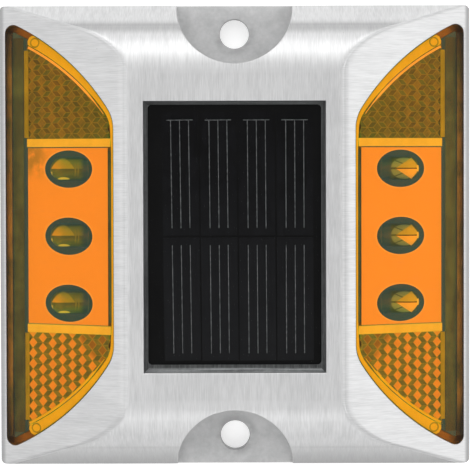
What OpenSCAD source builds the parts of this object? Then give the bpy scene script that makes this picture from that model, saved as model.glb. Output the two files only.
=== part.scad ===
// Solar road stud: a cast aluminium housing with an amber lens on each
// approach face, a solar panel in its top and the electronics sealed inside.
// Millimetres. Origin at the centre of the underside, +Z up, +X and -X are
// the two directions that traffic comes from, the bolts stand along Y.

/* [Housing] */
// Length from one approach edge to the other
body_length = 100; // [99:0.5:103]
// Width along the line of the two bolts
body_width = 97.5; // [97:0.5:99]
// Height of the flat top above the road
body_height = 20; // [19.5:0.5:22]
// Height of the thin edge where each approach face ends
lip_height = 3.8; // [3.5:0.1:4.2]
// Distance from the middle to the ridge where each approach face starts
ridge_x = 22.8; // [22.5:0.1:23.1]
// Radius that softens each ridge
ridge_r = 4; // [3:0.5:5]
// Distance from the middle to where the rounded shoulder starts
shoulder_start = 34; // [33.5:0.1:34.5]
// Radius of the rounded shoulder
shoulder_r = 11.2; // [11:0.1:11.6]
// Distance from the middle to the crease under the shoulder
crease_y = 44.4; // [44.2:0.1:44.6]
// Height of the upright edge at the two bolt sides
side_edge_height = 5; // [4.5:0.1:5.5]
// Radius of the four corners seen from above
corner_r = 1; // [0.6:0.1:1.4]

/* [Bolt lugs] */
// Distance between the two bolt holes
bolt_spacing = 85.6; // [84.8:0.2:86.4]
// Radius of each bolt hole
bolt_hole_r = 3.1; // [2.6:0.1:3.6]
// Radius of the half-round recess around each bolt
recess_r = 12.25; // [11.8:0.05:12.4]
// Thickness of the lug left under each recess
lug_thickness = 3.5; // [3:0.1:4]

/* [Solar pocket] */
// Length of the pocket along X
pocket_length = 38; // [37.6:0.1:38.4]
// Width of the pocket along Y
pocket_width = 56.6; // [56.4:0.1:57]
// Depth of the pocket below the top
pocket_depth = 5; // [4.8:0.1:5.4]
// Length of the solar panel along X
panel_length = 36.2; // [35.6:0.1:36.6]
// Width of the solar panel along Y
panel_width = 54.3; // [54:0.1:54.8]
// How far the panel sits off the middle of its pocket
panel_offset = 0.4; // [0:0.1:0.6]

/* [Lenses] */
// Distance from the middle to the straight inner edge of a lens
lens_inner_x = 25.2; // [25:0.1:25.5]
// Distance from the middle to the straight outer edge of a lens
lens_outer_x = 48.8; // [48.5:0.1:49]
// Radius of the curved ends of a lens
lens_arc_r = 49.8; // [49.6:0.1:50]
// Thickness of the amber skin, measured straight down
skin_drop = 1.6; // [1.4:0.1:1.8]
// Distance between neighbouring lamps
lamp_pitch = 14.15; // [13.8:0.05:14.4]
// Angle by which each lamp looks up from level
lamp_tilt = 12; // [11:0.5:13]

/* [Hidden] */
$fn = 64;
eps = 0.02;
sides = [1, -1];
lamps = [-1, 0, 1];

// Slope of an approach face, as fall over run.
slope = (body_height - lip_height) / (body_length / 2 - ridge_x);
// Height of the crease under the shoulder.
crease_z = body_height - shoulder_r
    + sqrt(pow(shoulder_r, 2) - pow(crease_y - shoulder_start, 2));

// The recess arc is centred just inside the side edge.
recess_inset = 0.4;
recess_y = body_width / 2 - recess_inset;

// Lens outline: one large arc centred outside the lens, blended into the
// straight inner edge and into the outer edge by two small arcs.
lens_arc_x = 68.4;
inner_blend_r = 8;
outer_blend_r = 1.8;
inner_blend_x = lens_inner_x + inner_blend_r;
inner_blend_y = sqrt(pow(lens_arc_r - inner_blend_r, 2) - pow(lens_arc_x - inner_blend_x, 2));
outer_blend_x = lens_outer_x - outer_blend_r;
outer_blend_y = sqrt(pow(lens_arc_r - outer_blend_r, 2) - pow(lens_arc_x - outer_blend_x, 2));
inner_blend_angle = atan2(inner_blend_y, inner_blend_x - lens_arc_x);
outer_blend_angle = atan2(outer_blend_y, outer_blend_x - lens_arc_x);

// How the lens sits: a flange round its edge rests on a ledge in the casting.
lens_play = 0.1;
flange_wall = 0.7;
front_wall = 1.7;
ledge_inset = 1.5;
ledge_drop = 3;
rib_inner_y = 18.8;
rib_outer_y = 20.55;
rib_drop = 4.4;

// White plate and prism blocks under the skin, as depths below the face.
plate_top_drop = skin_drop + 0.1;
plate_thickness = 0.7;
plate_inner_x = 26.5;
plate_outer_x = 43.9;
plate_half_width = 18.6;
window_x = 35.0;
window_half_length = 5.17;
window_half_width = 3.95;
window_steps = 48;
prism_drop = 1.7;
prism_inner_x = 26.4;
prism_outer_x = 44.6;
prism_arc_r = 51.6;
prism_arc_y = 5;

// Sealed cavities in the underside.
cavity_half_length = 22;
cavity_half_width = 33;
cavity_top = 13;
potting_recess = 0.8;
centre_potting_top = 3;
side_potting_top = 2.6;

// Circuit board and what it carries.
board_length = 40;
board_width = 60;
board_thickness = 1.6;
board_top = centre_potting_top + board_thickness;
wire_r = 0.6;
wire_level = 8;
wire_gap = 2.4;

// Lamps: five millimetre round parts lying nearly level.
lamp_r = 2.5;
lamp_barrel = 6.1;
lamp_flange_r = 2.9;
lamp_flange = 1;
lamp_centre_x = 36.6;
lamp_centre_z = 6.9;
lead_spacing = 2.54;
lead_size = 0.5;
lead_end = -3.3;
lamp_board_back = -2.6;
lamp_board_thickness = 1.2;

// Solar cells: two rows of four strips, the strips laid by hand and so each
// turned a little less than the one before it.
cell_columns = 4;
cell_pitch = 7.93;
cell_length = 7.6;
cell_width = 25.7;
cell_gap = 0.47;
cell_shift_x = 0.72;
cell_shift_y = -0.365;
cell_thickness = 0.2;
cell_turn_first = 0.66;
cell_turn_step = 0.17;
finger_pitch = 1.87;
finger_width = 0.16;
finger_thickness = 0.05;
finger_length = 22.6;
bar_length = 5.5;
panel_board_thickness = 1.8;
panel_base = body_height - pocket_depth;
cell_base = panel_base + panel_board_thickness;
window_base = cell_base + cell_thickness + finger_thickness + 0.05;
window_top = body_height - 0.6;
window_play = 0.2;
window_bevel = 1.1;

// Height of the right approach face at a given distance from the middle.
function face_z(x) = body_height - slope * (x - ridge_x);

// Points along an arc, both ends included.
function arc(x, y, r, from, to, steps) =
    [for (i = [0 : steps]) [x + r * cos(from + (to - from) * i / steps),
                            y + r * sin(from + (to - from) * i / steps)]];

// Upper half of the right lens outline, moved inwards by inset.
function half_outline(inset) = concat(
    arc(outer_blend_x, outer_blend_y, outer_blend_r - inset, 0, outer_blend_angle, 6),
    arc(lens_arc_x, 0, lens_arc_r - inset, outer_blend_angle, inner_blend_angle, 20),
    arc(inner_blend_x, inner_blend_y, inner_blend_r - inset, inner_blend_angle, 180, 8));

module on_side(side) {
    mirror([side < 0 ? 1 : 0, 0, 0]) children();
}

module lens_plan(inset) {
    upper = half_outline(inset);
    lower = [for (i = [len(upper) - 1 : -1 : 0]) [upper[i][0], -upper[i][1]]];
    polygon(concat(upper, lower));
}

// Layer that follows the right approach face between two depths below it.
module face_layer(top_drop, bottom_drop, x0, x1, half_width) {
    rotate([90, 0, 0])
        linear_extrude(2 * half_width, center = true)
            polygon([[x0, face_z(x0) - bottom_drop], [x1, face_z(x1) - bottom_drop],
                     [x1, face_z(x1) - top_drop], [x0, face_z(x0) - top_drop]]);
}

module round_plate(length, width, height, r) {
    linear_extrude(height) {
        square([length - 2 * r, width], center = true);
        square([length, width - 2 * r], center = true);
        for (x = sides, y = sides)
            translate([x * (length / 2 - r), y * (width / 2 - r)]) circle(r);
    }
}

// Section of the housing across the bolts: flat top, rounded shoulders and a
// straight skirt below each crease.
module shoulder_section() {
    half = body_width / 2;
    polygon([[-half, 0], [half, 0], [half, side_edge_height], [crease_y, crease_z],
             [-crease_y, crease_z], [-half, side_edge_height]]);
    intersection() {
        translate([-crease_y, crease_z - eps])
            square([2 * crease_y, body_height - crease_z + eps]);
        union() {
            translate([-shoulder_start, 0]) square([2 * shoulder_start, body_height]);
            for (side = sides)
                translate([side * shoulder_start, body_height - shoulder_r])
                    circle(shoulder_r, $fn = 96);
        }
    }
}

// Section of the housing along the road: flat top, softened ridges and
// straight approach faces.
module approach_section() {
    half = body_length / 2;
    fall = atan(slope);
    start_x = ridge_x - ridge_r * tan(fall / 2);
    end_x = start_x + ridge_r * sin(fall);
    end_z = body_height - ridge_r * (1 - cos(fall));
    polygon([[-half, 0], [half, 0], [half, lip_height], [end_x, end_z],
             [start_x, body_height], [-start_x, body_height], [-end_x, end_z],
             [-half, lip_height]]);
    for (side = sides)
        translate([side * start_x, body_height - ridge_r]) circle(ridge_r, $fn = 96);
}

module casting_form() {
    intersection() {
        round_plate(body_length, body_width, body_height, corner_r);
        rotate([90, 0, 90])
            linear_extrude(body_length, center = true) shoulder_section();
        rotate([90, 0, 0])
            linear_extrude(body_width, center = true) approach_section();
    }
}

module bolt_recess() {
    translate([0, recess_y, lug_thickness]) {
        cylinder(r = recess_r, h = body_height, $fn = 96);
        translate([-recess_r, 0, 0]) cube([2 * recess_r, 10, body_height]);
    }
    translate([0, bolt_spacing / 2, -1]) cylinder(r = bolt_hole_r, h = lug_thickness + 2);
}

module lens_seat() {
    intersection() {
        linear_extrude(body_height + 1) lens_plan(0);
        face_layer(-2, ledge_drop, lens_inner_x - 1, lens_outer_x + 1, body_width / 2);
    }
    translate([0, 0, -1]) linear_extrude(body_height) lens_plan(ledge_inset);
}

module housing() {
    slot_width = 8;
    slot_low = wire_level - 1.8;
    slot_height = 3.6;
    color([0.8, 0.81, 0.82])
    difference() {
        casting_form();
        translate([-pocket_length / 2, -pocket_width / 2, panel_base])
            cube([pocket_length, pocket_width, body_height]);
        for (side = sides) {
            mirror([0, side < 0 ? 1 : 0, 0]) bolt_recess();
            on_side(side) lens_seat();
            on_side(side) translate([cavity_half_length - 1, -slot_width / 2, slot_low])
                cube([lens_inner_x - cavity_half_length + 3, slot_width, slot_height]);
        }
        translate([-cavity_half_length, -cavity_half_width, -1])
            cube([2 * cavity_half_length, 2 * cavity_half_width, cavity_top + 1]);
        translate([0, 22, cavity_top - 1]) cylinder(r = 2.6, h = pocket_depth);
    }
}

// Black resin poured into the underside, left a little below the rim.
module potting() {
    color([0.05, 0.05, 0.055]) {
        translate([-cavity_half_length, -cavity_half_width, potting_recess])
            cube([2 * cavity_half_length, 2 * cavity_half_width,
                  centre_potting_top - potting_recess]);
        for (side = sides)
            on_side(side) translate([0, 0, potting_recess])
                linear_extrude(side_potting_top - potting_recess) lens_plan(ledge_inset);
    }
}

// Grey sealant that fills the gap between the panel and the pocket walls.
module panel_seal() {
    color([0.55, 0.56, 0.57])
    difference() {
        translate([-pocket_length / 2, -pocket_width / 2, panel_base])
            cube([pocket_length, pocket_width, window_base - panel_base]);
        translate([0, panel_offset, panel_base - 1])
            round_plate(panel_length, panel_width, pocket_depth, 0.8);
    }
}

module panel_board() {
    color([0.03, 0.03, 0.035])
    translate([0, panel_offset, panel_base])
        round_plate(panel_length, panel_width, panel_board_thickness, 0.8);
}

// Places its children at the middle of one strip of cells.
module at_cell(column, row) {
    turn = cell_turn_first - cell_turn_step * column;
    x = (column - (cell_columns - 1) / 2) * cell_pitch + cell_shift_x;
    translate([x, panel_offset + cell_shift_y, cell_base]) rotate([0, 0, turn])
        translate([0, row * (cell_width + cell_gap) / 2, 0]) children();
}

module solar_cells() {
    color([0.05, 0.06, 0.09])
    for (column = [0 : cell_columns - 1], row = sides)
        at_cell(column, row)
            translate([-cell_length / 2, -cell_width / 2, 0])
                cube([cell_length, cell_width, cell_thickness]);
}

// Three silver fingers on each strip, joined by a bar at the upper end of the
// upper row.
module cell_fingers() {
    color([0.75, 0.75, 0.76])
    for (column = [0 : cell_columns - 1], row = sides)
        at_cell(column, row) translate([0, 0, cell_thickness]) {
            for (finger = [-1 : 1])
                translate([finger * finger_pitch - finger_width / 2, -finger_length / 2, 0])
                    cube([finger_width, finger_length, finger_thickness]);
            if (row > 0)
                translate([-bar_length / 2, finger_length / 2 - finger_width, 0])
                    cube([bar_length, finger_width, finger_thickness]);
        }
}

// Clear window with its top edge bevelled all round.
module panel_window() {
    half_x = pocket_length / 2 - window_play;
    half_y = pocket_width / 2 - window_play;
    rise = window_top - window_base;
    color([0.85, 0.9, 0.92, 0.35])
    translate([0, 0, window_base])
    intersection() {
        rotate([90, 0, 0]) linear_extrude(2 * half_y, center = true)
            polygon([[-half_x, 0], [half_x, 0], [half_x, rise - window_bevel],
                     [half_x - window_bevel, rise], [window_bevel - half_x, rise],
                     [-half_x, rise - window_bevel]]);
        rotate([90, 0, 90]) linear_extrude(2 * half_x, center = true)
            polygon([[-half_y, 0], [half_y, 0], [half_y, rise - window_bevel],
                     [half_y - window_bevel, rise], [window_bevel - half_y, rise],
                     [-half_y, rise - window_bevel]]);
    }
}

// Amber cap: a skin along the approach face, a flange round it and two ribs
// that divide the lamp bay from the prisms.
module lens() {
    outer = lens_outer_x - lens_play;
    color([1, 0.6, 0.1, 0.6])
    difference() {
        intersection() {
            linear_extrude(body_height) lens_plan(lens_play);
            face_layer(0, rib_drop, lens_inner_x - 1, lens_outer_x + 1, body_width / 2);
        }
        difference() {
            intersection() {
                face_layer(skin_drop, 2 * rib_drop, lens_inner_x - 1, outer - front_wall,
                           body_width / 2);
                translate([0, 0, -1]) linear_extrude(body_height) lens_plan(flange_wall);
            }
            for (side = sides)
                translate([lens_inner_x, side > 0 ? rib_inner_y : -rib_outer_y, -1])
                    cube([lens_outer_x, rib_outer_y - rib_inner_y, body_height + 2]);
        }
        difference() {
            face_layer(ledge_drop, 2 * rib_drop, lens_inner_x - 1, lens_outer_x + 1,
                       body_width / 2);
            linear_extrude(body_height) intersection() {
                lens_plan(ledge_inset + lens_play);
                union() for (side = sides)
                    translate([lens_inner_x, side > 0 ? rib_inner_y : -rib_outer_y])
                        square([outer - front_wall - lens_inner_x,
                                rib_outer_y - rib_inner_y]);
            }
        }
        translate([plate_outer_x, -body_width / 2, -1])
            cube([outer - front_wall - plate_outer_x, body_width, side_potting_top + 1]);
    }
}

// Prism blocks that throw headlamp light back, above and below the lamps.
module prisms() {
    color([1, 0.55, 0.15])
    for (side = sides)
        mirror([0, side < 0 ? 1 : 0, 0])
            intersection() {
                face_layer(plate_top_drop, plate_top_drop + prism_drop, prism_inner_x,
                           prism_outer_x, body_width / 2);
                translate([lens_inner_x, rib_outer_y + 0.05, 0])
                    cube([body_length, body_width, body_height]);
                translate([lens_arc_x, -prism_arc_y, 0])
                    cylinder(r = prism_arc_r, h = body_height, $fn = 180);
            }
}

// White plate with an oval window over each lamp.
module lamp_plate() {
    color([0.93, 0.92, 0.9])
    difference() {
        face_layer(plate_top_drop, plate_top_drop + plate_thickness, plate_inner_x,
                   plate_outer_x, plate_half_width);
        for (lamp = lamps)
            translate([window_x, lamp * lamp_pitch, 0])
                linear_extrude(body_height)
                    polygon([for (i = [0 : window_steps - 1])
                        [window_half_length * cos(360 * i / window_steps),
                         window_half_width * sin(360 * i / window_steps)]]);
    }
}

// Places its children on one lamp's axis, local +Z towards its dome and the
// origin at the back of its flange.
module at_lamp(lamp) {
    translate([lamp_centre_x, lamp * lamp_pitch, lamp_centre_z])
        rotate([0, 90 - lamp_tilt, 0])
            translate([0, 0, -lamp_barrel]) children();
}

module lamp_bodies() {
    color([0.95, 0.95, 0.9, 0.5])
    for (lamp = lamps)
        at_lamp(lamp) {
            cylinder(r = lamp_r, h = lamp_barrel);
            translate([0, 0, lamp_barrel]) sphere(lamp_r);
            cylinder(r = lamp_flange_r, h = lamp_flange);
        }
}

// Two steel leads in each lamp, one with a cup and one with a flag.
module leadframes() {
    cup_base = 3.1;
    cup_height = 1.5;
    flag_base = 3.4;
    color([0.8, 0.8, 0.82])
    for (lamp = lamps)
        at_lamp(lamp) {
            for (side = sides)
                translate([-lead_size / 2, side * lead_spacing / 2 - lead_size / 2, lead_end])
                    cube([lead_size, lead_size, cup_base + 0.4 - lead_end]);
            difference() {
                translate([-0.6, -1.52, cup_base]) cube([1.2, 2.1, cup_height]);
                translate([0, -0.45, cup_base + 0.7])
                    cylinder(r1 = 0.3, r2 = 0.5, h = cup_height);
            }
            translate([-lead_size / 2, 0.85, flag_base]) cube([lead_size, 0.7, 1.4]);
        }
}

module lamp_dies() {
    die = 0.32;
    color([0.95, 0.8, 0.2])
    for (side = sides, lamp = lamps)
        on_side(side) at_lamp(lamp)
            translate([-die / 2, -0.45 - die / 2, 3.8]) cube([die, die, 0.25]);
}

module lamp_board() {
    up = 5;
    down = 2.3;
    half_width = 17.6;
    color([0.1, 0.35, 0.16])
    difference() {
        at_lamp(0)
            translate([-up, -half_width, lamp_board_back])
                cube([up + down, 2 * half_width, lamp_board_thickness]);
        for (lamp = lamps, side = sides)
            at_lamp(lamp)
                translate([0, side * lead_spacing / 2, lamp_board_back - 1])
                    cylinder(r = 0.45, h = lamp_board_thickness + 2, $fn = 24);
    }
}

module main_board() {
    color([0.1, 0.35, 0.16])
    translate([-board_length / 2, -board_width / 2, centre_potting_top])
        cube([board_length, board_width, board_thickness]);
}

// Eight-legged control chip that charges the cell and flashes the lamps.
module controller() {
    color([0.08, 0.08, 0.085])
    translate([-13.5, -20.5, board_top + 0.2]) cube([4, 5, 1.5]);
}

module controller_legs() {
    leg_pitch = 1.27;
    color([0.8, 0.8, 0.8])
    for (i = [0 : 3], side = sides)
        translate([-11.5, -19.9 + i * leg_pitch, board_top])
            mirror([side < 0 ? 1 : 0, 0, 0]) {
                translate([2, 0, 0.6]) cube([0.6, 0.4, 0.2]);
                translate([2.4, 0, 0]) cube([0.2, 0.4, 0.8]);
                translate([2.4, 0, 0]) cube([0.9, 0.4, 0.2]);
            }
}

// Drum core with its winding between two round cheeks.
module coil_core() {
    color([0.2, 0.2, 0.21])
    translate([-11, -5, board_top]) {
        cylinder(r = 3.5, h = 1);
        cylinder(r = 1.6, h = 5);
        translate([0, 0, 4]) cylinder(r = 3.5, h = 1);
    }
}

module coil_winding() {
    turns = 6;
    strand_r = 0.25;
    color([0.75, 0.4, 0.15])
    translate([-11, -5, board_top + 1]) {
        difference() {
            cylinder(r = 2.6, h = 3);
            translate([0, 0, -1]) cylinder(r = 1.6, h = 5);
        }
        for (i = [0 : turns - 1])
            translate([0, 0, strand_r + i * 2 * strand_r])
                rotate_extrude() translate([2.6, 0]) circle(strand_r, $fn = 16);
    }
}

module capacitor() {
    color([0.15, 0.16, 0.2])
    translate([-11, 6, board_top]) {
        cylinder(r = 2.5, h = 6.6);
        cylinder(r = 2.6, h = 0.8);
    }
}

module resistors() {
    color([0.12, 0.12, 0.12])
    for (i = [0 : 4])
        translate([-17, -24 + i * 4, board_top]) cube([1.2, 2, 0.55]);
}

module diode() {
    color([0.1, 0.1, 0.1])
    translate([-17, 8, board_top + 1.3]) rotate([-90, 0, 0]) cylinder(r = 1.3, h = 5);
}

// Flat rechargeable cell lying beside the control circuit.
module battery() {
    color([0.2, 0.35, 0.6])
    translate([6.5, 0, board_top]) round_plate(20, 36, 6.2, 2.5);
}

module battery_tabs() {
    color([0.8, 0.8, 0.78])
    for (x = [2, 11])
        translate([x - 1.5, -18.2, board_top + 1.5]) cube([3, 0.2, 3]);
}

// Round wire that rises from the board, turns a square corner and runs level.
module bent_wire(start, rise, run) {
    translate(start) {
        cylinder(r = wire_r, h = rise, $fn = 24);
        translate([0, 0, rise]) sphere(wire_r, $fn = 24);
        translate([0, 0, rise]) rotate([0, 90, 0]) cylinder(r = wire_r, h = run, $fn = 24);
    }
}

// Each battery wire leaves its tab level and turns down to the board.
module battery_wires() {
    colors = [[0.75, 0.1, 0.1], [0.08, 0.08, 0.08]];
    reach = 2.6;
    rise = 3;
    for (i = [0, 1])
        color(colors[i])
        translate([2 + 9 * i, -18.2, board_top + rise]) {
            rotate([90, 0, 0]) cylinder(r = wire_r, h = reach, $fn = 24);
            translate([0, -reach, 0]) sphere(wire_r, $fn = 24);
            translate([0, -reach, -rise]) cylinder(r = wire_r, h = rise, $fn = 24);
        }
}

// Two wires from the panel, through the pocket floor, to the board.
module solar_wires() {
    colors = [[0.75, 0.1, 0.1], [0.08, 0.08, 0.08]];
    for (i = [0, 1])
        color(colors[i])
        translate([i * wire_gap - wire_gap / 2, 22, board_top])
            cylinder(r = wire_r, h = panel_base - board_top, $fn = 24);
}

module lamp_wires() {
    colors = [[0.75, 0.1, 0.1], [0.08, 0.08, 0.08]];
    for (i = [0, 1])
        color(colors[i])
        bent_wire([18.6, i * wire_gap - wire_gap / 2, board_top], wire_level - board_top, 8.7);
}

housing();
potting();
panel_seal();
panel_board();
solar_cells();
cell_fingers();
panel_window();
on_side(1) lens();  // right_lens
on_side(-1) lens();  // left_lens
on_side(1) prisms();  // right_prisms
on_side(-1) prisms();  // left_prisms
on_side(1) lamp_plate();  // right_lamp_plate
on_side(-1) lamp_plate();  // left_lamp_plate
on_side(1) lamp_bodies();  // right_lamps
on_side(-1) lamp_bodies();  // left_lamps
on_side(1) leadframes();  // right_leadframes
on_side(-1) leadframes();  // left_leadframes
lamp_dies();
on_side(1) lamp_board();  // right_lamp_board
on_side(-1) lamp_board();  // left_lamp_board
main_board();
controller();
controller_legs();
coil_core();
coil_winding();
capacitor();
resistors();
diode();
battery();
battery_tabs();
battery_wires();
solar_wires();
on_side(1) lamp_wires();  // right_lamp_wires
on_side(-1) lamp_wires();  // left_lamp_wires
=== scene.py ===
"""Looks of a solar road stud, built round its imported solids.

Metres, +Z up, origin at the centre of the underside. The two amber lenses look along +X and -X and the two
bolts stand on the Y axis. New pieces are numpy surfaces: a section or a ring of points is worked out as an
array, carried along a path or down a stack, and put into a mesh.
"""

import math

import bmesh
import bpy
import numpy as np
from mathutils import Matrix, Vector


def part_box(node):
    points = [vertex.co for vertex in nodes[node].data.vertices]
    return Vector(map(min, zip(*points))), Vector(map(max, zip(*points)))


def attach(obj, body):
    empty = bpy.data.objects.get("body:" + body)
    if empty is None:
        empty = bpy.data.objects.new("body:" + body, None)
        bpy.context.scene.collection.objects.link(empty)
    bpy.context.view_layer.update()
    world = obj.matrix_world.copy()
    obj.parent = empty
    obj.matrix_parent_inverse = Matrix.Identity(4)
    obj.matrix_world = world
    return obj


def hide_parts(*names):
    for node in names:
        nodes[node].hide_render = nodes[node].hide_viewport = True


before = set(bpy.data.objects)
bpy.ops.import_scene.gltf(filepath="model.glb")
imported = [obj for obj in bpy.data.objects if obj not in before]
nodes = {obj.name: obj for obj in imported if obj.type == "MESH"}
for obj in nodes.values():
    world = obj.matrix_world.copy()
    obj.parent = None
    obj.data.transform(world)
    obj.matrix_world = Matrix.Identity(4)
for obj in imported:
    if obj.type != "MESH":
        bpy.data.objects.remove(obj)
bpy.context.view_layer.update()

MM = 0.001
PER_METRE = 1000

# Places that come from the solids.
casting_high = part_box("housing")[1]
HALF_LENGTH = casting_high.x
HALF_WIDTH = casting_high.y
HEIGHT = casting_high.z
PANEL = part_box("panel_board")
PLATE_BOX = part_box("right_lamp_plate")
PRISM_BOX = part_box("right_prisms")
LAMP_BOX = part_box("right_lamps")
LAMP_FRONT = LAMP_BOX[1].x
BOLT_Y = 42.8 * MM

# The sloped approach faces.
RIDGE = 22.8 * MM
LIP = 3.8 * MM
SLOPE = (HEIGHT - LIP) / (HALF_LENGTH - RIDGE)

# Lens outline: a large arc blended into a straight inner and outer edge.
LENS_INNER = 25.2 * MM
LENS_OUTER = 48.8 * MM
LENS_ARC = 49.8 * MM
LENS_ARC_X = 68.4 * MM
INNER_BLEND = 8 * MM
OUTER_BLEND = 1.8 * MM
PRISM_ARC = 51.6 * MM
PRISM_ARC_Y = -5 * MM
SKIN = 1.6 * MM
RIB_LOW = 18.8 * MM
RIB_HIGH = 20.55 * MM
LAMP_PITCH = 14.15 * MM
LAMP_TILT = math.radians(12)
LAMP_R = 2.5 * MM
RECESS_R = 12.25 * MM
RECESS_INSET = 0.4 * MM
WINDOW_X = 35.0 * MM
WINDOW_HALF_LENGTH = 5.17 * MM
WINDOW_HALF_WIDTH = 3.95 * MM

# The rounded shoulders over the bolts.
SHOULDER_START = 34 * MM
SHOULDER_R = 11.2 * MM
CREASE_Y = 44.4 * MM
CREASE_Z = HEIGHT - SHOULDER_R + math.sqrt(SHOULDER_R**2 - (CREASE_Y - SHOULDER_START) ** 2)
SKIRT_SLOPE = (CREASE_Z - 5 * MM) / (HALF_WIDTH - CREASE_Y)
SIDES = ((1, "right"), (-1, "left"))
ENDS = ((1, "upper"), (-1, "lower"))

# The flange behind each lens, its bead, the round marks at its ends and the wall beyond the prisms.
FLANGE_GAP = 0.15 * MM
FLANGE_THIN = 0.4 * MM
FLANGE_WIDE = 2.35 * MM
FLANGE_REACH = 33 * MM
FLANGE_TAPER = 1.15
FLANGE_END = 43.2 * MM
BEAD_OFFSET = 0.42 * MM
BEAD_START_Y = 26 * MM
BEAD_END = 42.6 * MM
MARK_X = 42.3 * MM
MARK_Y = 40.9 * MM
PRISM_WALL_X = 44.25 * MM
PRISM_WALL_END = 39.3 * MM

# Straight bars along a whole lens: distance from the middle of the stud, half length, points along it, half
# width, and how far its top and its bottom lie below the approach face.
BARS = {
    "front_wall": (48.05 * MM, 43.0 * MM, 60, 0.6 * MM, SKIN + 0.02 * MM, SKIN + 0.9 * MM),
    "trough": (46.12 * MM, 42.0 * MM, 60, 1.31 * MM, SKIN + 0.5 * MM, SKIN + 0.9 * MM),
    "inner_step": (26.05 * MM, 18.0 * MM, 40, 0.38 * MM, SKIN + 0.6 * MM, SKIN + 1.2 * MM),
}

# The studio: soft lights (name, place, size, radiance), the even light from all round, and the camera.
SOFT_BOXES = (
    ("over_right", (0.44, 0, 0.66), (0.4, 0.6), 0.55),
    ("over_left", (-0.44, 0, 0.66), (0.4, 0.6), 0.95),
    ("over_far", (0, 0.46, 0.66), (0.6, 0.4), 1.5),
    ("over_near", (0, -0.44, 0.66), (0.6, 0.4), 1.3),
    ("side_right", (0.74, 0, 0.34), (0.5, 0.7), 1.36),
    ("side_left", (-0.74, 0, 0.34), (0.5, 0.7), 0.62),
    ("side_far", (0, 0.74, 0.36), (1.5, 0.5), 1.8),
    ("side_near", (0, -0.74, 0.34), (1.5, 0.5), 0.72),
)
EVEN_LIGHT = 0.66
FLOOR_REACH = 3.0
FLOOR_DROP = 0.05 * MM
CAMERA_PLACE = (1.04 * MM, 16.97 * MM, 0.6)
CAMERA_TURN = (-0.0285, 0.0016, -0.0025)
FOCAL_LENGTH = 214.1


# ---------------------------------------------------------------- materials


class Wire:
    """A shader value that takes part in ordinary arithmetic."""

    def __init__(self, finish, socket):
        self.finish = finish
        self.socket = socket

    def math(self, operation, *values):
        inputs = {i: value for i, value in enumerate(values)}
        return self.finish.add("ShaderNodeMath", {"operation": operation}, inputs)

    def __add__(self, other):
        return self.math("ADD", self, other)

    __radd__ = __add__

    def __sub__(self, other):
        return self.math("SUBTRACT", self, other)

    def __rsub__(self, other):
        return self.math("SUBTRACT", other, self)

    def __mul__(self, other):
        return self.math("MULTIPLY", self, other)

    __rmul__ = __mul__

    def __truediv__(self, other):
        return self.math("DIVIDE", self, other)

    def __abs__(self):
        return self.math("ABSOLUTE", self)

    def __mod__(self, other):
        return self.math("FLOORED_MODULO", self, other)

    def __lt__(self, other):
        return self.math("LESS_THAN", self, other)

    def __gt__(self, other):
        return self.math("GREATER_THAN", self, other)

    def over(self, low, high):
        """0 below low, 1 above high and a smooth rise between them."""
        return self.finish.add(
            "ShaderNodeMapRange",
            {"interpolation_type": "SMOOTHSTEP"},
            {"Value": self, "From Min": low, "From Max": high},
        )

    def root(self):
        return self.math("SQRT", self)

    def most(self, other):
        return self.math("MAXIMUM", self, other)

    def least(self, other):
        return self.math("MINIMUM", self, other)


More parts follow.
